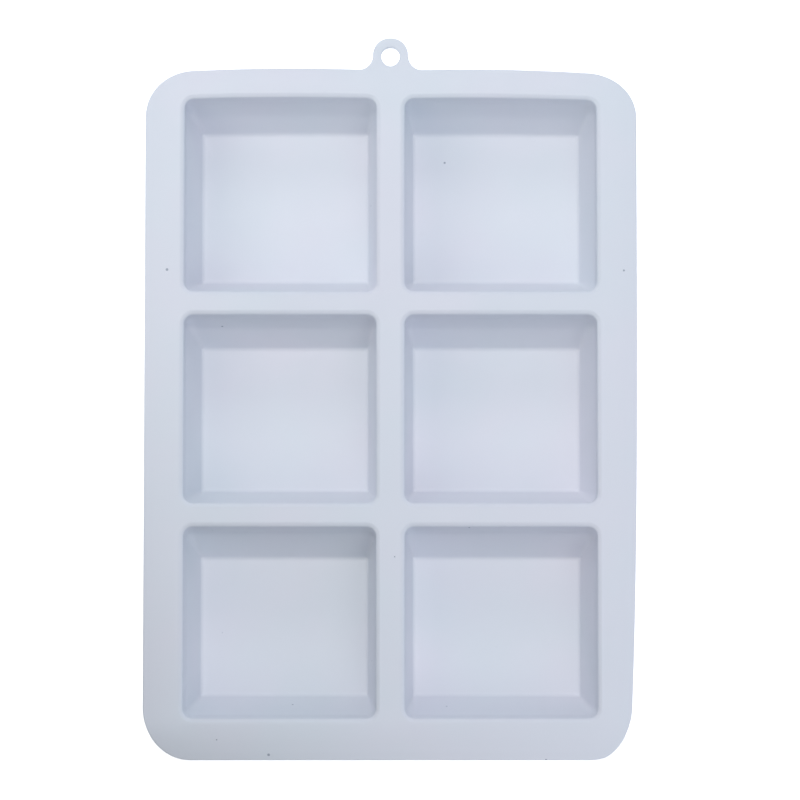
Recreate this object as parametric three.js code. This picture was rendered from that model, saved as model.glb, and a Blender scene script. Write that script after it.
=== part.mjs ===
// Six-cavity silicone soap mould. Millimetres, +Z up, +Y towards the hanging loop.
// It lies on its cavity floors with the mouths up, and the origin is below the middle of its box.
// In life it is a single moulding. Here it is laid out as the regions that shift when it flexes:
// three stiff rows of two cavities, the two webs that fold between the rows, the six floors that
// push up to free a bar of soap, and the loop that bends at the far edge.

import * as THREE from 'three';

// Deck: the flat plate that joins the cavities at their mouths.
const DECK_WIDTH = 175;
const DECK_LENGTH = 246;
const DECK_CORNER_RADIUS = 17;
const DECK_THICKNESS = 2.4;
const OVERALL_HEIGHT = 27;

// Cavities, two across and three along.
const MOUTH_WIDTH = 69.5;
const MOUTH_LENGTH = 68.6;
const MOUTH_CORNER_RADIUS = 3.4;
const FLOOR_WIDTH = 60.4;
const FLOOR_LENGTH = 53.4;
const FLOOR_CORNER_RADIUS = 3;
const FLOOR_THICKNESS = 2;
const WALL_THICKNESS = 1.7;
const LEDGE_WIDTH = 2.6;

// Deck between and beyond the mouths.
const CENTRE_WEB = 8.8;
const ROW_WEB = 8.2;
const FAR_FLANGE = 10.4;
const FOLD_STRIP = 3.4;

// Hanging loop.
const LOOP_DIAMETER = 12.1;
const LOOP_HOLE_DIAMETER = 7.1;
const LOOP_REACH = 11.4;
const LOOP_THICKNESS = 2;
const LOOP_ROOT_RADIUS = 5;
const LOOP_ROOT_GAP = 0.9;

// Clearance between regions that meet.
const GAP = 0.3;

// Steps in a quarter turn.
const DECK_ARC_STEPS = 8;
const WALL_ARC_STEPS = 4;
const LOOP_ARC_STEPS = 12;

const SILICONE_COLOUR = 0xd2dae8;
const SILICONE_ROUGHNESS = 0.6;

const DECK_UNDERSIDE = OVERALL_HEIGHT - DECK_THICKNESS;
const FAR_EDGE = (DECK_LENGTH + LOOP_REACH) / 2 - LOOP_REACH;
const NEAR_EDGE = FAR_EDGE - DECK_LENGTH;
const ROW_PITCH = MOUTH_LENGTH + ROW_WEB;
const FAR_ROW_Y = FAR_EDGE - FAR_FLANGE - MOUTH_LENGTH / 2;
const COLUMN_X = (CENTRE_WEB + MOUTH_WIDTH) / 2;

const COLUMNS = [
  { name: 'left', x: -COLUMN_X },
  { name: 'right', x: COLUMN_X },
];

const ROWS = [
  { name: 'far', y: FAR_ROW_Y },
  { name: 'middle', y: FAR_ROW_Y - ROW_PITCH },
  { name: 'near', y: FAR_ROW_Y - 2 * ROW_PITCH },
];

function siliconeMesh(name, geometry) {
  const material = new THREE.MeshStandardMaterial({
    color: SILICONE_COLOUR,
    roughness: SILICONE_ROUGHNESS,
    metalness: 0,
  });
  const mesh = new THREE.Mesh(geometry, material);
  mesh.name = name;
  return mesh;
}

function plate(shape, thickness) {
  return new THREE.ExtrudeGeometry(shape, {
    depth: thickness,
    bevelEnabled: false,
    curveSegments: LOOP_ARC_STEPS,
  });
}

// Corner points of a rectangle, anticlockwise from the near right corner, a quarter turn at each
// round corner. Radii are in the same order: near right, far right, far left, near left.
function rectangleOutline(left, right, near, far, radii, steps) {
  const corners = [
    { x: right, y: near, inwardX: -1, inwardY: 1 },
    { x: right, y: far, inwardX: -1, inwardY: -1 },
    { x: left, y: far, inwardX: 1, inwardY: -1 },
    { x: left, y: near, inwardX: 1, inwardY: 1 },
  ];
  return corners.flatMap((corner, order) => {
    const radius = radii[order];
    const centreX = corner.x + corner.inwardX * radius;
    const centreY = corner.y + corner.inwardY * radius;
    const start = (order - 1) * (Math.PI / 2);
    const count = radius === 0 ? 0 : steps;
    return Array.from({ length: count + 1 }, (_, step) => {
      const angle = start + (step / steps) * (Math.PI / 2);
      return new THREE.Vector2(centreX + radius * Math.cos(angle), centreY + radius * Math.sin(angle));
    });
  });
}

function roundedRectangle(width, length, radius) {
  const radii = [radius, radius, radius, radius];
  return rectangleOutline(-width / 2, width / 2, -length / 2, length / 2, radii, WALL_ARC_STEPS);
}

// Deck over one row, open over its two mouths. Only the ends of the whole deck have round corners.
function rowDeck(row) {
  const isFar = row === ROWS[0];
  const isNear = row === ROWS[ROWS.length - 1];
  const foldInset = (ROW_PITCH - FOLD_STRIP) / 2;
  const far = isFar ? FAR_EDGE : row.y + foldInset;
  const near = isNear ? NEAR_EDGE : row.y - foldInset;
  const farRadius = isFar ? DECK_CORNER_RADIUS : 0;
  const nearRadius = isNear ? DECK_CORNER_RADIUS : 0;
  const radii = [nearRadius, farRadius, farRadius, nearRadius];
  const half = DECK_WIDTH / 2;
  const shape = new THREE.Shape(rectangleOutline(-half, half, near, far, radii, DECK_ARC_STEPS));
  for (const column of COLUMNS) {
    const centre = new THREE.Vector2(column.x, row.y);
    const mouth = roundedRectangle(MOUTH_WIDTH, MOUTH_LENGTH, MOUTH_CORNER_RADIUS);
    shape.holes.push(new THREE.Path(mouth.map((point) => point.add(centre))));
  }
  const mesh = siliconeMesh(`${row.name}_row_deck`, plate(shape, DECK_THICKNESS));
  mesh.position.z = DECK_UNDERSIDE;
  return mesh;
}

// Strip of deck between two rows, the part that bends when a row is folded over.
function foldWeb(row) {
  const width = FOLD_STRIP - 2 * GAP;
  const mesh = siliconeMesh(`${row.name}_fold_web`, new THREE.BoxGeometry(DECK_WIDTH, width, DECK_THICKNESS));
  mesh.position.set(0, row.webY, DECK_UNDERSIDE + DECK_THICKNESS / 2);
  return mesh;
}

// Closed band of wall: rounded-rectangle sections joined in order, and the last to the first.
function lofted(sections) {
  const rings = sections.map(({ width, length, radius, z }) => {
    const outline = roundedRectangle(width, length, radius);
    return outline.map((point) => [point.x, point.y, z]);
  });
  const count = rings[0].length;
  const faces = [];
  rings.forEach((ring, level) => {
    const here = level * count;
    const next = ((level + 1) % rings.length) * count;
    for (let i = 0; i < count; i += 1) {
      const j = (i + 1) % count;
      faces.push(here + i, here + j, next + j);
      faces.push(here + i, next + j, next + i);
    }
  });
  const geometry = new THREE.BufferGeometry();
  geometry.setAttribute('position', new THREE.Float32BufferAttribute(rings.flat(2), 3));
  geometry.setIndex(faces);
  geometry.computeVertexNormals();
  return geometry;
}

// Inside width and length of a cavity at a height; the walls lean out from the floor to the mouth.
function cavityAt(z) {
  const rise = (z - FLOOR_THICKNESS) / (OVERALL_HEIGHT - FLOOR_THICKNESS);
  return {
    width: FLOOR_WIDTH + (MOUTH_WIDTH - FLOOR_WIDTH) * rise,
    length: FLOOR_LENGTH + (MOUTH_LENGTH - FLOOR_LENGTH) * rise,
    radius: FLOOR_CORNER_RADIUS + (MOUTH_CORNER_RADIUS - FLOOR_CORNER_RADIUS) * rise,
    z,
  };
}

function grown(section, by) {
  return {
    width: section.width + 2 * by,
    length: section.length + 2 * by,
    radius: section.radius + by,
    z: section.z,
  };
}

// Four leaning walls under the deck, with the ledge that stays still round the push-up floor.
function cavityWalls(name) {
  const top = cavityAt(DECK_UNDERSIDE - GAP);
  const foot = cavityAt(FLOOR_THICKNESS);
  const window = { ...grown(foot, -LEDGE_WIDTH), radius: FLOOR_CORNER_RADIUS };
  return siliconeMesh(name, lofted([
    { ...grown(foot, WALL_THICKNESS), z: 0 },
    grown(top, WALL_THICKNESS),
    top,
    foot,
    window,
    { ...window, z: 0 },
  ]));
}

// Panel in the ledge's window that thumbs push up.
function cavityFloor(name) {
  const inset = 2 * (LEDGE_WIDTH + GAP);
  const outline = roundedRectangle(FLOOR_WIDTH - inset, FLOOR_LENGTH - inset, FLOOR_CORNER_RADIUS);
  return siliconeMesh(name, plate(new THREE.Shape(outline), FLOOR_THICKNESS));
}

function cavity(row, column) {
  const group = new THREE.Group();
  group.position.set(column.x, row.y, 0);
  group.add(cavityWalls(`${row.name}_${column.name}_walls`));
  group.add(cavityFloor(`${row.name}_${column.name}_floor`));
  return group;
}

// Ring on the far edge. Two root arcs sweep its sides out to the deck, tangent to both.
function hangingLoop() {
  const ring = LOOP_DIAMETER / 2;
  const ringY = LOOP_REACH - ring;
  const rootY = LOOP_ROOT_RADIUS;
  const rootX = Math.sqrt((ring + LOOP_ROOT_RADIUS) ** 2 - (ringY - rootY) ** 2);
  const tilt = Math.atan2(ringY - rootY, rootX);
  const footAngle = Math.asin((rootY - LOOP_ROOT_GAP) / LOOP_ROOT_RADIUS);
  const shape = new THREE.Shape();
  shape.absarc(rootX, rootY, LOOP_ROOT_RADIUS, Math.PI + footAngle, Math.PI - tilt, true);
  shape.absarc(0, ringY, ring, -tilt, Math.PI + tilt, false);
  shape.absarc(-rootX, rootY, LOOP_ROOT_RADIUS, tilt, -footAngle, true);
  shape.closePath();
  const hole = new THREE.Path();
  hole.absarc(0, ringY, LOOP_HOLE_DIAMETER / 2, 0, 2 * Math.PI, false);
  shape.holes.push(hole);
  const mesh = siliconeMesh('hanging_loop', plate(shape, LOOP_THICKNESS));
  mesh.position.set(0, FAR_EDGE, DECK_UNDERSIDE + (DECK_THICKNESS - LOOP_THICKNESS) / 2);
  return mesh;
}

const mould = new THREE.Group();
for (const row of ROWS) {
  mould.add(rowDeck(row));
  for (const column of COLUMNS) {
    mould.add(cavity(row, column));
  }
}
mould.add(foldWeb({ name: 'far', webY: FAR_ROW_Y - ROW_PITCH / 2 }));
mould.add(foldWeb({ name: 'near', webY: FAR_ROW_Y - 1.5 * ROW_PITCH }));
mould.add(hangingLoop());

export default mould;
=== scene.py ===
"""A six-cavity silicone soap mould with a hanging loop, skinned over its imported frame."""

import math

import bmesh
import bpy
import numpy as np
from bpy.props import FloatProperty, FloatVectorProperty, IntProperty, PointerProperty
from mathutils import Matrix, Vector
from mathutils.geometry import delaunay_2d_cdt


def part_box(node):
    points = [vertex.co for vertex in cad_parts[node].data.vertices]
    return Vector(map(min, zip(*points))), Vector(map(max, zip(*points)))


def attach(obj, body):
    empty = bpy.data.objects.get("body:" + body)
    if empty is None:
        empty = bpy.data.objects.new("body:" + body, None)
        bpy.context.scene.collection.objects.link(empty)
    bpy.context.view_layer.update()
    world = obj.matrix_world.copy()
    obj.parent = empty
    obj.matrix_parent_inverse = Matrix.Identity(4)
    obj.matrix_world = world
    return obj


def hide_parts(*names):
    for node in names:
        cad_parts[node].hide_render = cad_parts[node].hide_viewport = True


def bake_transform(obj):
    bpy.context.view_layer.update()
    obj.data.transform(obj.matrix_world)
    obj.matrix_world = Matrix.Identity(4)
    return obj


bl_info = {
    "name": "Silicone Soap Mould",
    "version": (1, 0, 0),
    "blender": (4, 5, 0),
    "location": "3D View > Sidebar > Soap Mould",
    "description": "Builds a six-cavity silicone soap mould and the stage it lies on",
    "category": "Object",
}

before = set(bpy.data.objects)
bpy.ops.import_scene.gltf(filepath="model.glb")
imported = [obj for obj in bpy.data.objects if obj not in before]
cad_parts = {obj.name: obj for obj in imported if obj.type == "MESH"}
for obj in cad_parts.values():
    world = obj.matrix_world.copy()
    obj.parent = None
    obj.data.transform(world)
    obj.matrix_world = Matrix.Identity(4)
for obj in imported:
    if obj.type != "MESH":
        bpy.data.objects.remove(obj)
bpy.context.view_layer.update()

MM = 0.001
ROWS = ("far", "middle", "near")
COLUMNS = ("left", "right")


def low(node, axis):
    """Lowest place of a CAD node along one axis."""
    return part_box(node)[0][axis]


def high(node, axis):
    """Highest place of a CAD node along one axis."""
    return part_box(node)[1][axis]


def middle(node, axis):
    """Middle of a CAD node along one axis."""
    return (low(node, axis) + high(node, axis)) / 2


X, Y, Z = range(3)
TOP = high("middle_row_deck", Z)
UNDERSIDE = low("middle_row_deck", Z)
FLOOR_TOP = high("middle_left_floor", Z)
HALF_WIDTH = high("far_row_deck", X)
FAR_EDGE = high("far_row_deck", Y)
NEAR_EDGE = low("near_row_deck", Y)
FAR_WEB = (high("middle_row_deck", Y), low("far_row_deck", Y))
NEAR_WEB = (high("near_row_deck", Y), low("middle_row_deck", Y))
LOOP_TIP = high("hanging_loop", Y)

# Mesh stations on the arcs of the outline: a deck corner, a root of the loop, and its ring or hole.
CORNER_STATIONS = 17
ROOT_STATIONS = 15
RING_STATIONS = 41

# Loose mesh points over the deck: spacing of their lines, least gap to fixed points, and depth of
# the points that stand behind a rolled edge, all as shares of the step or of the edge's radius.
LINE_SPACING = 0.87
LEAST_GAP = 0.45
SUPPORT_DEPTH = 1.6

# Points across and along a fold web, and where the seam of the loop meets the far edge.
WEB_POINTS = (75, 11)
LOOP_SEAM_SHARE = 0.78

# Rings over a level face, from its edge towards its middle, steps down a wall, and points round a
# corner of a cavity's section and of the flange's edge.
FACE_SHARES = (0.985, 0.93, 0.85, 0.72, 0.58, 0.44, 0.3, 0.15, 0)
WALL_STEPS = 26
ROUND_STEPS = 7
EDGE_STEPS = 5

# Shares of a wall where its first and last rings lie, close to the rounded corners.
WALL_ENDS = (0.015, 0.985)

# Droop of the near flange: its power towards the edge, its share in the middle of the deck, and
# what it loses from there to the right edge.
DROOP_POWER = 1.6
DROOP_SHARE = 0.85
DROOP_TILT = 0.45

# Where the far edge reaches furthest, as a share of the half width from the middle.
DIP_CENTRE = -0.22

# Smallest plan radius of a cavity's corner on any level, gap below which its points are welded,
# angle above which an edge is shaded sharp, and tolerance when the plan is cut.
LEAST_CORNER = 0.3 * MM
WELD_DISTANCE = 0.002 * MM
SHARP_ANGLE = math.radians(40)
CUT_TOLERANCE = 1e-8

# Broad flow under the fine grain: its scale and height against the grain's, and its pull on gloss.
FLOW_SCALE = 0.06
FLOW_HEIGHT = 1.5
FLOW_GLOSS = 0.1

DUST_COLOUR = (0.42, 0.45, 0.52, 1)

# Half the side of the stage's floor.
FLOOR_REACH = 3.0

# Foot and height of the black card.
CARD_FOOT = ((-0.24, -0.035), (-0.03, -0.295))
CARD_HEIGHT = 0.42

# Where the camera looks, from the middle of the deck's top face.
CAMERA_AIM = (3.4 * MM, 3.8 * MM)
SENSOR_WIDTH = 36
KEY_DISTANCE = 2
KEY_ANGLE = math.radians(1)

# Place, size and share of the power of each soft lamp.
SOFT_LAMPS = {
    "far": ((0.07, 0.65, 0.5), 0.2, 0.14),
    "near": ((0.25, -0.55, 0.8), 0.5, 0.38),
    "left": ((-0.6, 0.0, 0.7), 0.5, 0.48),
}


# ---------------------------------------------------------------- settings


def length(name, description, value):
    """Property for a length. Its default is given in millimetres."""
    return FloatProperty(name=name, description=description, default=value * MM, unit="LENGTH")


def row_lengths(name, description, *values):
    """Property for a length in the far, middle and near rows. Its defaults are in millimetres."""
    default = tuple(value * MM for value in values)
    return FloatVectorProperty(name=name, description=description, default=default, unit="LENGTH")


class MouldSizes(bpy.types.PropertyGroup):
    """Sizes of the moulding that the CAD frame leaves plain."""

    mouth_width: length("Mouth Width", "Width of a cavity where its walls meet the deck", 68.2)
    mouth_length: length("Mouth Length", "Length of a cavity where its walls meet the deck", 68.5)
    mouth_corner: length("Mouth Corner", "Plan radius of a mouth's corners", 3.4)
    floor_width: length("Floor Width", "Width of a cavity at its floor", 60.4)
    floor_lengths: row_lengths(
        "Floor Lengths", "Length of the floors in the far, middle and near rows", 54.0, 53.2, 50.4)
    floor_shifts: row_lengths(
        "Floor Shifts", "How far the floors of the three rows have settled towards the loop",
        -0.8, -1.5, -0.7)
    floor_corner: length("Floor Corner", "Plan radius of a floor's corners", 0.7)
    lip_radius: length("Lip Radius", "Rounding where a wall turns over into the deck", 0.9)
    lip_bevel: length("Lip Bevel", "Width of the gentle slope between the lip and the flat deck", 1.0)
    lip_slope: FloatProperty(
        name="Lip Slope", description="Steepness of the gentle slope round a mouth",
        default=math.radians(27), subtype="ANGLE")
    floor_fillet: length("Floor Fillet", "Rounding between a wall and the floor", 1.5)
    wall_thickness: length("Wall Thickness", "Thickness of a cavity's walls", 1.5)
    wall_knee: FloatProperty(
        name="Wall Knee", description="Height, as a share of the depth, where the walls turn steeper",
        default=0.72, min=0.5, max=0.95, subtype="FACTOR")
    wall_bows: FloatVectorProperty(
        name="Wall Bows", description="Share of their lean that the walls of the three rows gain at the knee",
        default=(0.22, 0.22, 0.12), min=0, max=0.3)
    root_radius: length("Root Radius", "Rounding between a wall's outside and the deck's underside", 0.5)
    foot_radius: length("Foot Radius", "Rounding under a cavity, between its outside and its base", 1.6)
    rim_margin: length("Rim Margin", "Flat deck that belongs to a cavity, outside its mouth", 2.2)
    edge_radius: length("Edge Radius", "Rounding along the outer edge of the flange", 0.35)
    deck_corner: length("Deck Corner", "Plan radius of the deck's corners", 17)
    loop_diameter: length("Loop Diameter", "Outside diameter of the hanging loop", 12.5)
    loop_hole: length("Loop Hole", "Diameter of the hole in the hanging loop", 6.6)
    hole_offset: length(
        "Hole Offset", "How far the hole lies from the middle of the ring, towards the deck", 0.4)
    loop_root: length("Loop Root", "Radius that sweeps the loop out into the flange", 5)
    grain_step: length("Mesh Step", "Spacing of the mesh over the deck", 2.4)
    near_droop: length("Near Droop", "How far the near flange hangs below the deck", 2.6)
    side_droop: length("Side Droop", "How far the other flanges hang below the deck", 0.5)
    floor_lean: length(
        "Floor Lean", "How far the floors have settled towards the line between the columns", 0.9)
    row_stretches: row_lengths(
        "Row Stretches", "How much longer the soft mouths of the three rows have pulled", 1.8, -1.3, -1.2)
    row_shifts: row_lengths(
        "Row Shifts", "How far the mouths of the three rows have pulled towards the loop", -0.2, -0.55, 0.8)
    taper: FloatProperty(
        name="Taper", description="Share by which the soft deck widens from its middle to the loop",
        default=0.009, precision=4)
    side_pinch: length("Side Pinch", "How far the left edge of the flange has pulled in", 0.35)
    corner_pinch: length("Corner Pinch", "How far the near right corner of the flange has pulled in", 3.0)
    far_dip: length("Far Dip", "How far the far edge falls back towards its corners", 1.2)
    far_bulge: length("Far Bulge", "How far the far edge swells beyond each cavity", 0.8)
    far_shrink: length("Far Shrink", "How far the whole far edge has shrunk back, but for the loop", 0.5)
    near_reach: length("Near Reach", "How far the near edge has stretched away from the cavities", 1.0)
    arc_steps: IntProperty(
        name="Corner Steps", description="Mesh steps round a corner of a cavity", default=7, min=2)
    side_steps: IntProperty(
        name="Side Steps", description="Mesh steps along a side of a cavity", default=18, min=2)


class MouldLook(bpy.types.PropertyGroup):
    """Colour and surface of the silicone."""

    colour: FloatVectorProperty(
        name="Colour", description="Main colour of the silicone", subtype="COLOR",
        default=(0.80, 0.83, 0.88), min=0, max=1)
    lilac: FloatVectorProperty(
        name="Lilac", description="Warmer tint that drifts over the silicone", subtype="COLOR",
        default=(0.83, 0.82, 0.885), min=0, max=1)
    roughness: FloatProperty(
        name="Roughness", description="Roughness of the moulded surface",
        default=0.46, min=0, max=1, subtype="FACTOR")
    sheen: FloatProperty(
        name="Sheen", description="Soft bloom that silicone shows at a low angle",
        default=0.12, min=0, max=1, subtype="FACTOR")
    grain_depth: FloatProperty(
        name="Grain Depth", description="Height of the fine matte grain",
        default=0.02 * MM, unit="LENGTH", precision=6)


class StageSettings(bpy.types.PropertyGroup):
    """Camera, floor and lamps."""

    camera_distance: FloatProperty(
        name="Camera Distance", description="From the deck to the camera",
        default=0.975, unit="LENGTH")
    camera_elevation: FloatProperty(
        name="Camera Elevation", description="Height of the camera above the horizon",
        default=math.radians(83), subtype="ANGLE")
    frame_width: FloatProperty(
        name="Frame Width", description="Width of the picture on the deck",
        default=0.283, unit="LENGTH")
    lamp_colour: FloatVectorProperty(
        name="Lamp Colour", description="Colour of the key lamp and the soft lamps", subtype="COLOR",
        default=(1.0, 0.96, 0.9), min=0, max=1)
    fill_colour: FloatVectorProperty(
        name="Fill Colour", description="Cooler colour of the surroundings", subtype="COLOR",
        default=(0.67, 0.81, 1.0), min=0, max=1)
    key_elevation: FloatProperty(
        name="Key Elevation", description="Height of the key lamp above the horizon",
        default=math.radians(74.8), subtype="ANGLE")
    key_strength: FloatProperty(
        name="Key Strength", description="Strength of the key lamp", default=0.75, min=0)
    soft_power: FloatProperty(
        name="Soft Lamp Power", description="Power of the three soft lamps together", default=3.25, min=0)
    fill_strength: FloatProperty(
        name="Fill Strength", description="Brightness of the surroundings", default=0.515, min=0)
    floor_glow: FloatProperty(
        name="Floor Glow", description="Light that the white floor gives of itself", default=0.62, min=0)


# ---------------------------------------------------------------- nodes


def add_node(tree, kind, inputs=None, **settings):
    """Add a node, set its own settings, then fill or join its inputs by name or number."""
    node = tree.nodes.new(kind)
    for name, value in settings.items():
        setattr(node, name, value)
    for socket, value in (inputs or {}).items():
        if isinstance(value, bpy.types.NodeSocket):
            tree.links.new(value, node.inputs[socket])
        else:
            node.inputs[socket].default_value = value
    return node


def maths(tree, operation, first, second=0.0, third=0.0):
    """Add a Math node and give its output."""
    inputs = {0: first, 1: second, 2: third}
    return add_node(tree, "ShaderNodeMath", inputs, operation=operation).outputs[0]


def add_socket(tree, name, kind, default=None, is_output=False):
    """Give a node group a named input or output."""
    side = "OUTPUT" if is_output else "INPUT"
    socket = tree.interface.new_socket(name=name, in_out=side, socket_type=kind)
    if default is not None:
        socket.default_value = default


def shared_group(name, build):
    """One copy of a node group, built the first time that it is asked for."""
    return bpy.data.node_groups.get(name) or build()


def new_shader_group(name, colours=(), sizes=None):
    """Start a shader group with named inputs. Gives it, its inputs and the place on the piece."""
    group = bpy.data.node_groups.new(name, "ShaderNodeTree")
    for socket in colours:
        add_socket(group, socket, "NodeSocketColor")
    for socket, default in sizes.items():
        add_socket(group, socket, "NodeSocketFloat", default)
    given = group.nodes.new("NodeGroupInput").outputs
    return group, given, add_node(group, "ShaderNodeTexCoord").outputs["Object"]


def new_material(name, values):
    """Start a material with values on its shader's own sockets. Gives it and its shader."""
    material = bpy.data.materials.new(name)
    material.use_nodes = True
    shader = material.node_tree.nodes["Principled BSDF"]
    for socket, value in values.items():
        shader.inputs[socket].default_value = value
    return material, shader


# ---------------------------------------------------------------- silicone


def tint_drift_group():
    """Slow drift between two tints, as pigment drifts in poured silicone."""
    group, given, place = new_shader_group(
        "Tint Drift", ("Colour A", "Colour B"), {"Patch Size": 0.04, "Amount": 0.5})
    add_socket(group, "Colour", "NodeSocketColor", is_output=True)
    scale = maths(group, "DIVIDE", 1.0, given["Patch Size"])
    patches = add_node(group, "ShaderNodeTexNoise", {
        "Vector": place, "Scale": scale, "Detail": 2.0, "Roughness": 0.55})
    spread = add_node(group, "ShaderNodeMapRange", {
        "Value": patches.outputs["Fac"], "From Min": 0.35, "From Max": 0.65})
    share = maths(group, "MULTIPLY", spread.outputs["Result"], given["Amount"])
    mixed = add_node(group, "ShaderNodeMix", {
        0: share, 6: given["Colour A"], 7: given["Colour B"]}, data_type="RGBA")
    add_node(group, "NodeGroupOutput", {"Colour": mixed.outputs[2]})
    return group


def fine_grain_group():
    """Height of the fine matte grain that a blasted mould tool leaves."""
    group, given, place = new_shader_group("Fine Grain", sizes={"Grain Size": 0.0006})
    add_socket(group, "Height", "NodeSocketFloat", is_output=True)
    add_socket(group, "Gloss Shift", "NodeSocketFloat", is_output=True)
    fine = maths(group, "DIVIDE", 1.0, given["Grain Size"])
    coarse = maths(group, "MULTIPLY", fine, FLOW_SCALE)
    grain = add_node(group, "ShaderNodeTexNoise", {
        "Vector": place, "Scale": fine, "Detail": 3.0, "Roughness": 0.6})
    flow = add_node(group, "ShaderNodeTexNoise", {
        "Vector": place, "Scale": coarse, "Detail": 2.0, "Roughness": 0.5})
    height = maths(group, "MULTIPLY_ADD", flow.outputs["Fac"], FLOW_HEIGHT, grain.outputs["Fac"])
    shift = maths(group, "SUBTRACT", flow.outputs["Fac"], 0.5)
    add_node(group, "NodeGroupOutput", {"Height": height, "Gloss Shift": shift})
    return group


def dust_group():
    """Mask of the odd dark fleck of dust that clings to silicone."""
    group, given, place = new_shader_group(
        "Dust Flecks", sizes={"Spacing": 0.02, "Fleck Size": 0.0004, "Share": 0.3})
    add_socket(group, "Mask", "NodeSocketFloat", is_output=True)
    scale = maths(group, "DIVIDE", 1.0, given["Spacing"])
    cells = add_node(group, "ShaderNodeTexVoronoi", {"Vector": place, "Scale": scale})
    reach = maths(group, "DIVIDE", given["Fleck Size"], given["Spacing"])
    picked = add_node(group, "ShaderNodeSeparateColor", {0: cells.outputs["Color"]})
    is_picked = maths(group, "LESS_THAN", picked.outputs[0], given["Share"])
    sized = maths(group, "MULTIPLY", picked.outputs[1], reach)
    is_inside = maths(group, "LESS_THAN", cells.outputs["Distance"], sized)
    mask = maths(group, "MULTIPLY", is_picked, is_inside)
    add_node(group, "NodeGroupOutput", {"Mask": mask})
    return group


def silicone_material():
    """Pale matte silicone: drifting tint, fine grain, a few flecks of dust."""
    material = bpy.data.materials.get("Pale Silicone")
    if material:
        return material
    look = bpy.context.scene.mould_look
    material, shader = new_material("Pale Silicone", {
        "IOR": 1.41, "Specular IOR Level": 0.5, "Sheen Weight": look.sheen, "Sheen Roughness": 0.5})
    tree = material.node_tree
    drift = add_node(tree, "ShaderNodeGroup", {
        "Colour A": (*look.colour, 1), "Colour B": (*look.lilac, 1), "Patch Size": 0.05, "Amount": 0.8,
    }, node_tree=shared_group("Tint Drift", tint_drift_group))
    dust = add_node(tree, "ShaderNodeGroup", {"Spacing": 0.009, "Fleck Size": 0.0005, "Share": 0.35},
                    node_tree=shared_group("Dust Flecks", dust_group))
    dusty = add_node(tree, "ShaderNodeMix", {
        0: dust.outputs["Mask"], 6: drift.outputs["Colour"], 7: DUST_COLOUR}, data_type="RGBA")
    grain = add_node(tree, "ShaderNodeGroup", node_tree=shared_group("Fine Grain", fine_grain_group))
    gloss = maths(tree, "MULTIPLY_ADD", grain.outputs["Gloss Shift"], FLOW_GLOSS, look.roughness)
    bump = add_node(tree, "ShaderNodeBump", {
        "Height": grain.outputs["Height"], "Strength": 0.25, "Distance": look.grain_depth})
    tree.links.new(dusty.outputs[2], shader.inputs["Base Color"])
    tree.links.new(gloss, shader.inputs["Roughness"])
    tree.links.new(bump.outputs["Normal"], shader.inputs["Normal"])
    return material


# ---------------------------------------------------------------- plan of the deck


def cavity_centre(row, column):
    """Middle of a cavity in plan."""
    node = f"{row}_{column}_floor"
    return middle(node, X), middle(node, Y)


def ring_stations(sizes, centre, half_x, half_y, corner):
    """Points round a rounded rectangle: the plan of the cavity sweep at one height."""
    turn = sizes.arc_steps + sizes.side_steps
    station = np.arange(4 * turn)
    quarter = station // turn
    step = station % turn
    angle = (quarter + np.minimum(step / sizes.arc_steps, 1)) * math.pi / 2
    along = np.maximum(step - sizes.arc_steps, 0) / sizes.side_steps

    def corner_centre(which):
        diagonal = math.pi / 4 + which * math.pi / 2
        return np.sign(np.cos(diagonal)) * (half_x - corner), np.sign(np.sin(diagonal)) * (half_y - corner)

    here = corner_centre(quarter)
    after = corner_centre(quarter + 1)
    xs = centre[0] + here[0] * (1 - along) + after[0] * along + corner * np.cos(angle)
    ys = centre[1] + here[1] * (1 - along) + after[1] * along + corner * np.sin(angle)
    return np.column_stack((xs, ys))


def arc_stations(centre, radius, start, end, count, is_hollow=False):
    """Points and outward normals along an arc. A hollow arc has the rubber outside it."""
    angles = np.linspace(start, end, count)
    away = np.column_stack((np.cos(angles), np.sin(angles)))
    points = np.array(centre) + radius * away
    return np.hstack((points, -away if is_hollow else away))


def line_stations(start, end, normal, step):
    """Points and outward normals along a straight edge."""
    count = max(2, math.ceil(math.dist(start, end) / step) + 1)
    points = np.linspace(start, end, count)
    return np.hstack((points, np.tile(normal, (count, 1))))


def joined(runs):
    """One run of stations without the doubled points where two meet."""
    return np.vstack([run[:-1] for run in runs])


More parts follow.
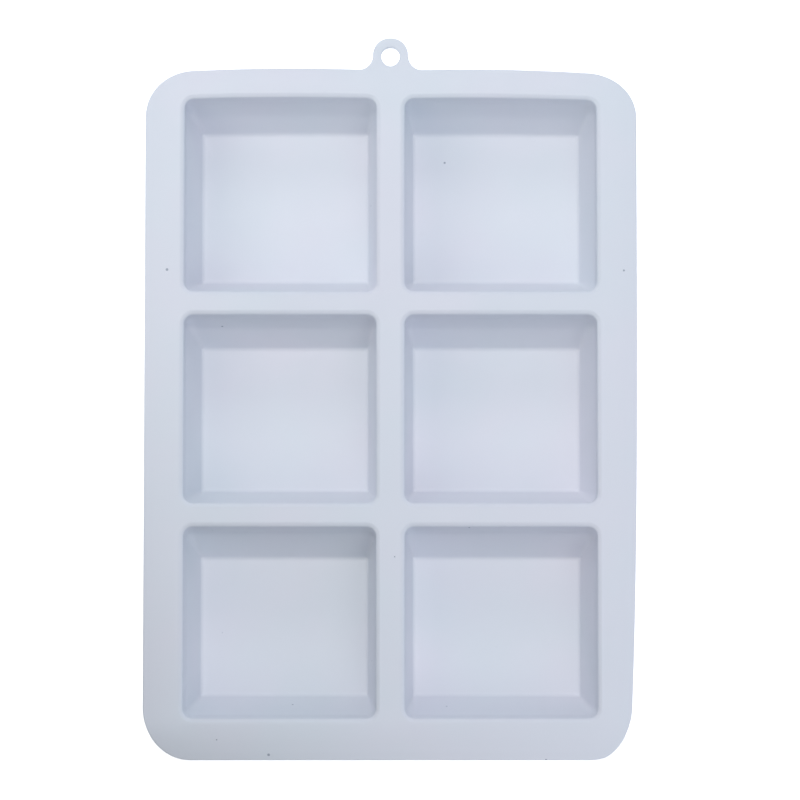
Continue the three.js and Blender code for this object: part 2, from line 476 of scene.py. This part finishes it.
def deck_outline(sizes):
    """Stations round the flange and the hanging loop, anticlockwise, with outward normals."""
    half, corner, step = HALF_WIDTH, sizes.deck_corner, sizes.grain_step
    quarter = math.pi / 2
    breaks = [NEAR_EDGE + corner, *NEAR_WEB, *FAR_WEB, FAR_EDGE - corner]
    right = [line_stations((half, a), (half, b), (1, 0), step) for a, b in zip(breaks, breaks[1:])]
    downward = breaks[::-1]
    left = [line_stations((-half, a), (-half, b), (-1, 0), step) for a, b in zip(downward, downward[1:])]
    inner, far, near = half - corner, FAR_EDGE - corner, NEAR_EDGE + corner
    ring = sizes.loop_diameter / 2
    ring_y = LOOP_TIP - ring
    root = sizes.loop_root
    root_y = FAR_EDGE + root
    root_x = math.sqrt((ring + root) ** 2 - (ring_y - root_y) ** 2)
    tilt = math.atan2(ring_y - root_y, root_x)
    return joined([
        arc_stations((inner, near), corner, -quarter, 0, CORNER_STATIONS),
        *right,
        arc_stations((inner, far), corner, 0, quarter, CORNER_STATIONS),
        line_stations((inner, FAR_EDGE), (root_x, FAR_EDGE), (0, 1), step),
        arc_stations((root_x, root_y), root, 3 * quarter, math.pi - tilt, ROOT_STATIONS, is_hollow=True),
        arc_stations((0, ring_y), ring, -tilt, math.pi + tilt, RING_STATIONS),
        arc_stations((-root_x, root_y), root, tilt, -quarter, ROOT_STATIONS, is_hollow=True),
        line_stations((-root_x, FAR_EDGE), (-inner, FAR_EDGE), (0, 1), step),
        arc_stations((-inner, far), corner, quarter, 2 * quarter, CORNER_STATIONS),
        *left,
        arc_stations((-inner, near), corner, 2 * quarter, 3 * quarter, CORNER_STATIONS),
        line_stations((-inner, NEAR_EDGE), (inner, NEAR_EDGE), (0, -1), step),
    ])


def is_inside(points, ring):
    """Which points lie inside a closed ring."""
    x, y = points[:, 0:1], points[:, 1:2]
    x0, y0 = ring[:, 0], ring[:, 1]
    x1, y1 = np.roll(x0, -1), np.roll(y0, -1)
    is_crossing = (y0 > y) != (y1 > y)
    with np.errstate(divide="ignore", invalid="ignore"):
        reach = x0 + (y - y0) * (x1 - x0) / (y1 - y0)
    return (is_crossing & (x < reach)).sum(axis=1) % 2 == 1


class DeckPlan:
    """The deck seen from above, as triangles that the pieces share out between them."""

    def __init__(self, sizes):
        self.sizes = sizes
        self.points = []
        self.edges = []
        self.normals = {}
        self.rolled = []
        outline = deck_outline(sizes)
        hole_radius = sizes.loop_hole / 2 + sizes.edge_radius
        hole_centre = (0, LOOP_TIP - sizes.loop_diameter / 2 - sizes.hole_offset)
        hole = arc_stations(hole_centre, hole_radius, 0, 2 * math.pi, RING_STATIONS, is_hollow=True)[:-1]
        self.outline = outline[:, :2] - outline[:, 2:] * sizes.edge_radius
        mouths = [
            ring_stations(sizes, cavity_centre(row, column),
                          sizes.mouth_width / 2 + sizes.rim_margin,
                          sizes.mouth_length / 2 + sizes.rim_margin,
                          sizes.mouth_corner + sizes.rim_margin)
            for row in ROWS for column in COLUMNS]
        self.holes = [*mouths, hole[:, :2]]
        self.add_ring(self.outline, outline[:, 2:])
        self.add_ring(hole[:, :2], hole[:, 2:])
        for mouth in mouths:
            self.add_ring(mouth)
        self.add_seams()
        self.add_field(outline)
        self.cut()

    def add_ring(self, ring, normals=None):
        """Add a closed ring that no triangle crosses. One with normals has a rolled edge."""
        first = len(self.points)
        count = len(ring)
        self.points.extend(map(tuple, ring))
        pairs = [(first + i, first + (i + 1) % count) for i in range(count)]
        self.edges.extend(pairs)
        if normals is not None:
            self.normals.update({first + i: tuple(normals[i]) for i in range(count)})
            self.rolled.extend(pairs)

    def nearest_station(self, x, y):
        """The outline station nearest to a place."""
        return int(np.argmin(np.hypot(self.outline[:, 0] - x, self.outline[:, 1] - y)))

    def add_seams(self):
        """Add the straight seams beside both fold webs and across the root of the loop."""
        step = self.sizes.grain_step
        for y in (*FAR_WEB, *NEAR_WEB):
            self.add_seam(self.nearest_station(-HALF_WIDTH, y), self.nearest_station(HALF_WIDTH, y), step)
        root_x = self.sizes.loop_diameter * LOOP_SEAM_SHARE
        right = self.nearest_station(root_x, FAR_EDGE)
        x, y = self.points[right]
        self.loop_seam = (abs(x), y)
        self.add_seam(self.nearest_station(-x, y), right, step / 3)

    def add_seam(self, left, right, step):
        """Add a straight seam between two stations of the outline."""
        places = np.linspace(self.points[left], self.points[right],
                             math.ceil(math.dist(self.points[left], self.points[right]) / step) + 1)
        first = len(self.points)
        self.points.extend(map(tuple, places[1:-1]))
        chain = [left, *range(first, len(self.points)), right]
        self.edges.extend(zip(chain, chain[1:]))

    def add_field(self, outline):
        """Add loose points over the deck, closer together on the fold webs and behind the rolled edge."""
        step = self.sizes.grain_step
        fixed = np.array(self.points)
        support = outline[:, :2] - outline[:, 2:] * self.sizes.edge_radius * SUPPORT_DEPTH
        support = support[np.abs(support[:, 1] - self.loop_seam[1]) > step / 4]
        xs, ys = np.meshgrid(np.arange(-HALF_WIDTH, HALF_WIDTH, step),
                             np.arange(NEAR_EDGE, LOOP_TIP, step * LINE_SPACING))
        xs[::2] += step / 2
        field = np.column_stack((xs.ravel(), ys.ravel()))
        gap = np.array([np.min(np.hypot(fixed[:, 0] - x, fixed[:, 1] - y)) for x, y in field])
        field = field[gap > LEAST_GAP * step]
        for start, end in (FAR_WEB, NEAR_WEB):
            field = field[(field[:, 1] < start - step / 3) | (field[:, 1] > end + step / 3)]
            xs, ys = np.meshgrid(np.linspace(-HALF_WIDTH, HALF_WIDTH, WEB_POINTS[0])[1:-1],
                                 np.linspace(start, end, WEB_POINTS[1])[1:-1])
            field = np.vstack((field, np.column_stack((xs.ravel(), ys.ravel()))))
        self.points.extend(map(tuple, support))
        self.points.extend(map(tuple, field))

    def cut(self):
        """Cut the plan into triangles and drop those outside the deck."""
        coords = [Vector(point) for point in self.points]
        places, _, faces, sources, _, _ = delaunay_2d_cdt(coords, self.edges, [], 0, CUT_TOLERANCE)
        self.places = np.array([tuple(place) for place in places])
        faces = np.array(faces)
        centres = self.places[faces].mean(axis=1)
        is_kept = is_inside(centres, self.outline)
        for hole in self.holes:
            is_kept &= ~is_inside(centres, hole)
        self.faces = faces[is_kept]
        self.centres = centres[is_kept]
        found = {source: index for index, group in enumerate(sources) for source in group}
        self.normals = {found[i]: normal for i, normal in self.normals.items()}
        self.rolled = {frozenset((found[a], found[b])) for a, b in self.rolled}

    def share(self, start, end):
        """Triangles of the deck between two places along it, without the loop's."""
        y = self.centres[:, 1]
        return self.faces[(y > start) & (y < end) & ~self.is_loop()]

    def loop_share(self):
        """Triangles of the loop."""
        return self.faces[self.is_loop()]

    def is_loop(self):
        """Which triangles lie beyond the seam at the loop's root."""
        seam_x, seam_y = self.loop_seam
        return (self.centres[:, 1] > seam_y) & (np.abs(self.centres[:, 0]) < seam_x)


def edge_section(radius):
    """Rounded corners of the flange edge, as (out, height) from the top face to the underside."""
    angles = np.linspace(0, math.pi / 2, EDGE_STEPS)
    upper = [(radius * math.sin(a), TOP - radius * (1 - math.cos(a))) for a in angles]
    lower = [(out, TOP + UNDERSIDE - height) for out, height in reversed(upper)]
    return upper + lower


def row_pull(y, sizes):
    """How far the soft deck has pulled towards the loop, from the pull at each mouth's two edges."""
    knots = []
    for row, stretch, shift in zip(ROWS, sizes.row_stretches, sizes.row_shifts):
        centre = cavity_centre(row, "left")[1]
        for side in (1, -1):
            knots.append((centre + side * sizes.mouth_length / 2, shift + side * stretch / 2))
    places, pulls = zip(*reversed(knots))
    return np.interp(y, places, pulls)


def settle(points, sizes):
    """Let the soft moulding pull, taper and hang a little out of its exact shape."""
    x, y, z = points.T
    half_mouth_x = sizes.mouth_width / 2 + sizes.rim_margin
    half_mouth_y = sizes.mouth_length / 2 + sizes.rim_margin
    near_start = cavity_centre("near", "left")[1] - half_mouth_y
    column_x, far_start = cavity_centre("far", "right")
    side_start = column_x + half_mouth_x
    near = np.clip((near_start - y) / (near_start - NEAR_EDGE), 0, 1)
    far = np.clip((y - far_start) / (FAR_EDGE - far_start), 0, 1)
    side = np.clip((np.abs(x) - side_start) / (HALF_WIDTH - side_start), 0, 1)
    across = x / HALF_WIDTH
    nearness = np.clip((FAR_EDGE - y) / (FAR_EDGE - NEAR_EDGE), 0, 1)
    drop = sizes.near_droop * near ** DROOP_POWER * (DROOP_SHARE - DROOP_TILT * across)
    drop = drop + sizes.side_droop * (side ** 2 * (1 - 0.5 * near) + far ** 8)
    pinch = np.where(x < 0, sizes.side_pinch, sizes.corner_pinch * nearness ** 4)
    shift_x = x * sizes.taper * (1 - 2 * nearness) - np.sign(x) * side * pinch
    bulge = np.cos(math.pi / 2 * np.clip(np.abs(x) / column_x - 1, -1, 1))
    is_edge = np.clip((FAR_EDGE + sizes.loop_root - y) / sizes.loop_root, 0, 1)
    dip = sizes.far_dip * (across - DIP_CENTRE) ** 2
    swell = sizes.far_bulge * bulge - dip - sizes.far_shrink * is_edge
    shift_y = row_pull(y, sizes) + far ** 2 * swell - near * sizes.near_reach
    return np.column_stack((x + shift_x, y + shift_y, z - drop))


def slab(plan, faces):
    """Points and faces of a closed piece of deck: two skins, rolled outer edges and flat seams."""
    section = edge_section(plan.sizes.edge_radius)
    points, top, under, rolls = [], {}, {}, {}
    for index in np.unique(faces):
        x, y = plan.places[index]
        top[index], under[index] = len(points), len(points) + 1
        points += [(x, y, TOP), (x, y, UNDERSIDE)]

    def roll(index):
        """Points down the rolled edge at one station."""
        if index not in rolls:
            x, y = plan.places[index]
            out_x, out_y = plan.normals[index]
            first = len(points)
            points.extend((x + out_x * out, y + out_y * out, z) for out, z in section[1:-1])
            rolls[index] = [top[index], *range(first, len(points)), under[index]]
        return rolls[index]

    solid = [tuple(top[i] for i in face) for face in faces]
    solid += [tuple(under[i] for i in face[::-1]) for face in faces]
    edges = {(a, b) for f in faces for a, b in ((f[0], f[1]), (f[1], f[2]), (f[2], f[0]))}
    kinds = {}
    for a, b in edges:
        if (b, a) in edges:
            continue
        is_rolled = frozenset((a, b)) in plan.rolled
        if is_rolled:
            solid += zip(roll(a)[:-1], roll(a)[1:], roll(b)[1:], roll(b)[:-1])
        else:
            solid.append((top[a], under[a], under[b], top[b]))
        kinds.setdefault(a, set()).add(is_rolled)
        kinds.setdefault(b, set()).add(is_rolled)
    solid += [tuple(roll(end)) for end, found in kinds.items() if len(found) == 2]
    return np.array(points), solid


# ---------------------------------------------------------------- cavities


def cavity_section(sizes, floor_length, bow):
    """Section of a cavity from the middle of its floor, over the lip and back under the floor.

    Each row holds rise (share of the lean reached: 0 at the floor, 1 at the mouth), offset (outward
    from the leaning line), shrink (towards the cavity's middle) and height. The bow is the share of
    the lean that the wall gains at its knee.
    """
    depth = TOP - FLOOR_TOP
    draft = (sizes.mouth_width - sizes.floor_width + sizes.mouth_length - floor_length) / 4
    knee = sizes.wall_knee

    def rise_at(height):
        """Share of the lean reached at a height: quicker below the knee, slower above it."""
        rise = (height - FLOOR_TOP) / depth
        return rise + bow * min(rise / knee, (1 - rise) / (1 - knee))

    def point(x, height):
        rise = rise_at(height)
        return rise, x - draft * rise, 1, height

    def wall_x(height):
        return draft * rise_at(height)

    def round_corner(radius, level, out, is_above, slope=0.0):
        """Points from a level or slightly sloping face round to the wall, above or below it."""
        quickness = 1 + (bow / knee if is_above else -bow / (1 - knee))
        lean = math.atan2(draft * quickness, depth)
        side = 1 if is_above else -1
        centre_x = wall_x(level) + out - side * radius * (1 - math.sin(lean)) / math.cos(lean)
        centre_z = level + side * radius
        wall_turn = -lean if is_above else math.pi - lean
        turns = np.linspace(slope - side * math.pi / 2, wall_turn, ROUND_STEPS)
        return [point(centre_x + radius * math.cos(t), centre_z + radius * math.sin(t)) for t in turns]

    def wall(start, end, out):
        """Points along a wall between two rounded corners, with one close to each corner."""
        shares = (WALL_ENDS[0], *np.linspace(0, 1, WALL_STEPS)[1:-1], WALL_ENDS[1])
        heights = [start + (end - start) * share for share in shares]
        return [point(wall_x(height) + out, height) for height in heights]

    def face(edge, shares):
        """Rings over a level face, from its edge towards its middle."""
        rise, offset, _, height = edge
        return [(rise, offset, share, height) for share in shares]

    thickness = sizes.wall_thickness / math.cos(math.atan2(draft, depth))
    fillet = round_corner(sizes.floor_fillet, FLOOR_TOP, 0, is_above=True)
    drop = sizes.lip_bevel * math.tan(sizes.lip_slope) - sizes.lip_radius * (1 - math.cos(sizes.lip_slope))
    lip = round_corner(sizes.lip_radius, TOP - drop, 0, is_above=False, slope=sizes.lip_slope)[::-1]
    bevel_end = lip[-1][1] - draft * (1 - lip[-1][0]) + sizes.lip_bevel
    root = round_corner(sizes.root_radius, UNDERSIDE, thickness, is_above=False)
    foot = round_corner(sizes.foot_radius, 0, thickness, is_above=True)[::-1]
    return [
        *face(fillet[0], FACE_SHARES[::-1]),
        *fillet,
        *wall(fillet[-1][3], lip[0][3], 0),
        *lip,
        (1, bevel_end, 1, TOP),
        (1, bevel_end + sizes.lip_bevel / 8, 1, TOP),
        (1, sizes.rim_margin, 1, TOP),
        (1, sizes.rim_margin, 1, UNDERSIDE),
        *root,
        *wall(root[-1][3], foot[0][3], thickness),
        *foot,
        *face(foot[-1], FACE_SHARES),
    ]


def cavity_sweep_tree():
    """Geometry nodes that sweep a section round a rounded rectangle, which changes with the level."""
    tree = bpy.data.node_groups.new("Cavity Sweep", "GeometryNodeTree")
    add_socket(tree, "Section", "NodeSocketGeometry")
    for level in ("Mouth", "Floor"):
        for measure in ("Width", "Length", "Corner"):
            add_socket(tree, f"{level} {measure}", "NodeSocketFloat")
    add_socket(tree, "Centre", "NodeSocketVector")
    add_socket(tree, "Floor Shift", "NodeSocketVector")
    add_socket(tree, "Corner Steps", "NodeSocketInt", 7)
    add_socket(tree, "Side Steps", "NodeSocketInt", 18)
    add_socket(tree, "Material", "NodeSocketMaterial")
    add_socket(tree, "Moulding", "NodeSocketGeometry", is_output=True)
    given = tree.nodes.new("NodeGroupInput").outputs
    section = given["Section"]

    count = add_node(tree, "GeometryNodeAttributeDomainSize", {0: section}).outputs["Point Count"]
    turn = maths(tree, "ADD", given["Corner Steps"], given["Side Steps"])
    stations = maths(tree, "MULTIPLY_ADD", turn, 4.0, 1.0)
    sheet = add_node(tree, "GeometryNodeMeshGrid", {"Vertices X": stations, "Vertices Y": count})
    index = add_node(tree, "GeometryNodeInputIndex").outputs[0]
    level = maths(tree, "MODULO", index, count)
    station = maths(tree, "FLOOR", maths(tree, "DIVIDE", index, count))
    quarter = maths(tree, "FLOOR", maths(tree, "DIVIDE", maths(tree, "ADD", station, 0.5), turn))
    step = maths(tree, "SUBTRACT", station, maths(tree, "MULTIPLY", quarter, turn))

    def read(name):
        stored = add_node(tree, "GeometryNodeInputNamedAttribute", {"Name": name}, data_type="FLOAT")
        return add_node(tree, "GeometryNodeSampleIndex", {
            "Geometry": section, "Value": stored.outputs["Attribute"], "Index": level,
        }, data_type="FLOAT", domain="POINT").outputs[0]

    rise, offset, shrink, height = (read(name) for name in ("rise", "offset", "shrink", "height"))

    def at_level(floor_size, mouth_size, share):
        """A size at this level: between floor and mouth, moved outward, then shrunk."""
        change = maths(tree, "SUBTRACT", given[mouth_size], given[floor_size])
        sloped = maths(tree, "MULTIPLY_ADD", change, rise, given[floor_size])
        moved = maths(tree, "MULTIPLY_ADD", sloped, share, offset)
        return maths(tree, "MULTIPLY", maths(tree, "MAXIMUM", moved, LEAST_CORNER), shrink)

    half_x = at_level("Floor Width", "Mouth Width", 0.5)
    half_y = at_level("Floor Length", "Mouth Length", 0.5)
    corner = at_level("Floor Corner", "Mouth Corner", 1.0)
    turned = maths(tree, "MINIMUM", maths(tree, "DIVIDE", step, given["Corner Steps"]), 1.0)
    angle = maths(tree, "MULTIPLY", maths(tree, "ADD", quarter, turned), math.pi / 2)
    past_corner = maths(tree, "MAXIMUM", maths(tree, "SUBTRACT", step, given["Corner Steps"]), 0.0)
    along = maths(tree, "DIVIDE", past_corner, given["Side Steps"])

    def place(half, wave):
        """Place along one axis: the corner centres at both ends of this side, and the round corner."""
        reach = maths(tree, "SUBTRACT", half, corner)

        def corner_at(which):
            diagonal = maths(tree, "MULTIPLY_ADD", which, math.pi / 2, math.pi / 4)
            return maths(tree, "MULTIPLY", reach, maths(tree, "SIGN", maths(tree, wave, diagonal)))

        here = corner_at(quarter)
        after = corner_at(maths(tree, "ADD", quarter, 1.0))
        moved = maths(tree, "MULTIPLY_ADD", maths(tree, "SUBTRACT", after, here), along, here)
        return maths(tree, "MULTIPLY_ADD", corner, maths(tree, wave, angle), moved)

    swept = add_node(tree, "ShaderNodeCombineXYZ", {
        "X": place(half_x, "COSINE"), "Y": place(half_y, "SINE"), "Z": height})
    shifted = add_node(tree, "ShaderNodeVectorMath", {
        0: given["Floor Shift"], 1: maths(tree, "SUBTRACT", 1.0, rise), 2: swept.outputs[0]},
        operation="MULTIPLY_ADD")
    placed = add_node(tree, "ShaderNodeVectorMath", {
        0: shifted.outputs[0], 1: given["Centre"]}, operation="ADD")
    shaped = add_node(tree, "GeometryNodeSetPosition", {
        "Geometry": sheet.outputs["Mesh"], "Position": placed.outputs[0]})
    closed = add_node(tree, "GeometryNodeMergeByDistance", {
        "Geometry": shaped.outputs[0], "Distance": WELD_DISTANCE})
    real = add_node(tree, "GeometryNodeRealizeInstances", {"Geometry": closed.outputs[0]})
    painted = add_node(tree, "GeometryNodeSetMaterial", {
        "Geometry": real.outputs[0], "Material": given["Material"]})
    add_node(tree, "NodeGroupOutput", {"Moulding": painted.outputs[0]})
    return tree


def sweep_cavity(name, centre, floor_length, floor_shift, bow, sizes):
    """Make the mesh of one cavity by sweeping its section with the geometry nodes."""
    section = cavity_section(sizes, floor_length, bow)
    base = bpy.data.meshes.new(f"{name}_section")
    base.from_pydata([(rise, 0, height) for rise, _, _, height in section], [], [])
    for column, key in enumerate(("rise", "offset", "shrink", "height")):
        stored = base.attributes.new(key, "FLOAT", "POINT")
        stored.data.foreach_set("value", [row[column] for row in section])
    holder = bpy.data.objects.new(f"{name}_section", base)
    bpy.context.collection.objects.link(holder)
    modifier = holder.modifiers.new("Cavity Sweep", "NODES")
    modifier.node_group = shared_group("Cavity Sweep", cavity_sweep_tree)
    values = {
        "Mouth Width": sizes.mouth_width, "Mouth Length": sizes.mouth_length,
        "Mouth Corner": sizes.mouth_corner, "Floor Width": sizes.floor_width,
        "Floor Length": floor_length, "Floor Corner": sizes.floor_corner,
        "Centre": (*centre, 0.0), "Floor Shift": floor_shift, "Corner Steps": sizes.arc_steps,
        "Side Steps": sizes.side_steps, "Material": silicone_material(),
    }
    for socket in modifier.node_group.interface.items_tree:
        if socket.item_type == "SOCKET" and socket.name in values:
            modifier[socket.identifier] = values[socket.name]
    graph = bpy.context.evaluated_depsgraph_get()
    mesh = bpy.data.meshes.new_from_object(holder.evaluated_get(graph), depsgraph=graph)
    bpy.data.objects.remove(holder)
    bpy.data.meshes.remove(base)
    return mesh


# ---------------------------------------------------------------- pieces


def finish_piece(name, mesh, sizes):
    """Settle a mesh, face it outward, shade it and place it as a piece of silicone."""
    points = np.empty(len(mesh.vertices) * 3)
    mesh.vertices.foreach_get("co", points)
    mesh.vertices.foreach_set("co", settle(points.reshape(-1, 3), sizes).ravel())
    shape = bmesh.new()
    shape.from_mesh(mesh)
    bmesh.ops.recalc_face_normals(shape, faces=shape.faces)
    open_edges = [edge for edge in shape.edges if not edge.is_manifold]
    shape.to_mesh(mesh)
    shape.free()
    if open_edges:
        raise RuntimeError(f"{name} has {len(open_edges)} open edges")
    mesh.polygons.foreach_set("use_smooth", [True] * len(mesh.polygons))
    mesh.set_sharp_from_angle(angle=SHARP_ANGLE)
    mesh.name = name
    if not mesh.materials:
        mesh.materials.append(silicone_material())
    piece = bpy.data.objects.new(name, mesh)
    bpy.context.collection.objects.link(piece)
    return piece


def make_slab(name, plan, faces):
    """Make a piece of deck from its share of the plan."""
    points, solid = slab(plan, faces)
    mesh = bpy.data.meshes.new(name)
    mesh.from_pydata(points.tolist(), [], [[int(i) for i in face] for face in solid])
    return finish_piece(name, mesh, plan.sizes)


class MOULD_OT_row_decks(bpy.types.Operator):
    """Make the two webs of deck between the rows, where a row folds over on the real mould"""

    bl_idname = "mould.row_decks"
    bl_label = "Row Decks"

    def execute(self, context):
        plan = DeckPlan(context.scene.mould_sizes)
        spans = {
            "far": (FAR_WEB[1], LOOP_TIP),
            "middle": (NEAR_WEB[1], FAR_WEB[0]),
            "near": (NEAR_EDGE, NEAR_WEB[0]),
        }
        for row, span in spans.items():
            piece = make_slab(f"{row}_deck_moulding", plan, plan.share(*span))
            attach(piece, f"{row}_row")
            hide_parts(f"{row}_row_deck")
        return {"FINISHED"}


class MOULD_OT_fold_webs(bpy.types.Operator):
    """Make the two webs of deck that bend when a row is folded over"""

    bl_idname = "mould.fold_webs"
    bl_label = "Fold Webs"

    def execute(self, context):
        plan = DeckPlan(context.scene.mould_sizes)
        webs = {"far": (FAR_WEB, *FAR_WEB), "near": (NEAR_WEB, *NEAR_WEB[::-1])}
        for row, (span, start, end) in webs.items():
            piece = make_slab(f"{row}_web_moulding", plan, plan.share(*span))
            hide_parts(f"{row}_fold_web")
            start += row_pull(start, plan.sizes)
            end += row_pull(end, plan.sizes)
            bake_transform(piece)
        return {"FINISHED"}


class MOULD_OT_cavities(bpy.types.Operator):
    """Make the six cavities; on the real mould their floors push up to free a bar"""

    bl_idname = "mould.cavities"
    bl_label = "Cavities"

    def execute(self, context):
        sizes = context.scene.mould_sizes
        for row, length, shift, bow in zip(ROWS, sizes.floor_lengths, sizes.floor_shifts, sizes.wall_bows):
            for column in COLUMNS:
                name = f"{row}_{column}_cavity_moulding"
                x, y = cavity_centre(row, column)
                lean = math.copysign(sizes.floor_lean, -x)
                mesh = sweep_cavity(name, (x, y), length, (lean, shift, 0.0), bow, sizes)
                piece = finish_piece(name, mesh, sizes)
                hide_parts(f"{row}_{column}_walls", f"{row}_{column}_floor")
                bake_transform(piece)
        return {"FINISHED"}


class MOULD_OT_hanging_loop(bpy.types.Operator):
    """Make the hanging loop; on the real mould it bends where it leaves the flange"""

    bl_idname = "mould.hanging_loop"
    bl_label = "Hanging Loop"

    def execute(self, context):
        plan = DeckPlan(context.scene.mould_sizes)
        piece = make_slab("loop_moulding", plan, plan.loop_share())
        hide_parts("hanging_loop")
        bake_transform(piece)
        return {"FINISHED"}


# ---------------------------------------------------------------- stage


def stage_material(settings):
    """Plain white floor, lit from behind as a light table is, with a soft grain."""
    material, shader = new_material("Pale Floor", {
        "Base Color": (0.9, 0.9, 0.9, 1), "Roughness": 0.8,
        "Emission Color": (1, 1, 1, 1), "Emission Strength": settings.floor_glow})
    tree = material.node_tree
    grain = add_node(tree, "ShaderNodeGroup", {"Grain Size": 0.004},
                     node_tree=shared_group("Fine Grain", fine_grain_group))
    bump = add_node(tree, "ShaderNodeBump", {
        "Height": grain.outputs["Height"], "Strength": 0.1, "Distance": 0.05 * MM})
    tree.links.new(bump.outputs["Normal"], shader.inputs["Normal"])
    return material


def card_material():
    """Black card that keeps some of the light off the near left corner."""
    return new_material("Black Card", {"Base Color": (0.02, 0.02, 0.02, 1), "Roughness": 0.9})[0]


def upward_from(elevation, distance):
    """A place at this distance from the middle of the deck, beyond its near edge."""
    return Vector((0, -math.cos(elevation), math.sin(elevation))) * distance


def aimed(obj, place, target):
    """Put a camera or lamp at a place and turn it to a target."""
    obj.location = place
    obj.rotation_euler = (target - place).to_track_quat("-Z", "Y").to_euler()
    bpy.context.collection.objects.link(obj)
    return obj


def stage_sheet(name, corners, material):
    """Add a flat four-cornered sheet to the stage."""
    mesh = bpy.data.meshes.new(name)
    mesh.from_pydata(corners, [], [(0, 1, 2, 3)])
    mesh.materials.append(material)
    sheet = bpy.data.objects.new(name, mesh)
    bpy.context.collection.objects.link(sheet)
    return sheet


class MOULD_OT_stage(bpy.types.Operator):
    """Lay the pale floor and set the camera and the lamps"""

    bl_idname = "mould.stage"
    bl_label = "Stage"

    def execute(self, context):
        settings = context.scene.mould_stage
        side = FLOOR_REACH
        corners = [(-side, -side, 0), (side, -side, 0), (side, side, 0), (-side, side, 0)]
        stage_sheet("floor", corners, stage_material(settings))
        start, end = CARD_FOOT
        corners = [(*start, 0), (*end, 0), (*end, CARD_HEIGHT), (*start, CARD_HEIGHT)]
        card = stage_sheet("card", corners, card_material())
        card.visible_camera = False

        aim_x, aim_y = CAMERA_AIM
        target = Vector((aim_x, (FAR_EDGE + NEAR_EDGE) / 2 + aim_y, TOP))
        camera_data = bpy.data.cameras.new("camera")
        camera_data.sensor_width = SENSOR_WIDTH
        camera_data.lens = SENSOR_WIDTH * settings.camera_distance / settings.frame_width
        place = target + upward_from(settings.camera_elevation, settings.camera_distance)
        camera = aimed(bpy.data.objects.new("camera", camera_data), place, target)
        context.scene.camera = camera

        key_data = bpy.data.lights.new("key", "SUN")
        key_data.color = settings.lamp_colour
        key_data.energy = settings.key_strength
        key_data.angle = KEY_ANGLE
        key_place = target + upward_from(math.pi - settings.key_elevation, KEY_DISTANCE)
        aimed(bpy.data.objects.new("key", key_data), key_place, target)

        for name, (place, size, share) in SOFT_LAMPS.items():
            soft_data = bpy.data.lights.new(f"{name}_soft", "AREA")
            soft_data.color = settings.lamp_colour
            soft_data.energy = settings.soft_power * share
            soft_data.size = size
            soft = aimed(bpy.data.objects.new(f"{name}_soft", soft_data), Vector(place), target)
            soft.visible_camera = False

        world = bpy.data.worlds.new("surroundings")
        world.use_nodes = True
        surround = world.node_tree.nodes["Background"]
        surround.inputs["Color"].default_value = (*settings.fill_colour, 1)
        surround.inputs["Strength"].default_value = settings.fill_strength
        context.scene.world = world
        context.scene.view_settings.view_transform = "Standard"
        return {"FINISHED"}


# ---------------------------------------------------------------- panel and run


OPERATORS = (
    MOULD_OT_row_decks, MOULD_OT_fold_webs, MOULD_OT_cavities, MOULD_OT_hanging_loop, MOULD_OT_stage)


class MOULD_PT_sidebar(bpy.types.Panel):
    """Lists the steps that build the soap mould"""

    bl_label = "Soap Mould"
    bl_idname = "MOULD_PT_sidebar"
    bl_space_type = "VIEW_3D"
    bl_region_type = "UI"
    bl_category = "Soap Mould"

    def draw(self, context):
        for operator in OPERATORS:
            self.layout.operator(operator.bl_idname)
        for group in ("mould_sizes", "mould_look", "mould_stage"):
            settings = getattr(context.scene, group)
            box = self.layout.box()
            for name in type(settings).__annotations__:
                box.prop(settings, name)


CLASSES = (MouldSizes, MouldLook, StageSettings, *OPERATORS, MOULD_PT_sidebar)


def register():
    for found in CLASSES:
        bpy.utils.register_class(found)
    bpy.types.Scene.mould_sizes = PointerProperty(type=MouldSizes)
    bpy.types.Scene.mould_look = PointerProperty(type=MouldLook)
    bpy.types.Scene.mould_stage = PointerProperty(type=StageSettings)


def unregister():
    del bpy.types.Scene.mould_stage
    del bpy.types.Scene.mould_look
    del bpy.types.Scene.mould_sizes
    for found in reversed(CLASSES):
        bpy.utils.unregister_class(found)


def main():
    register()
    bpy.ops.mould.row_decks()
    bpy.ops.mould.fold_webs()
    bpy.ops.mould.cavities()
    bpy.ops.mould.hanging_loop()
    bpy.ops.mould.stage()


if __name__ == "__main__":
    main()
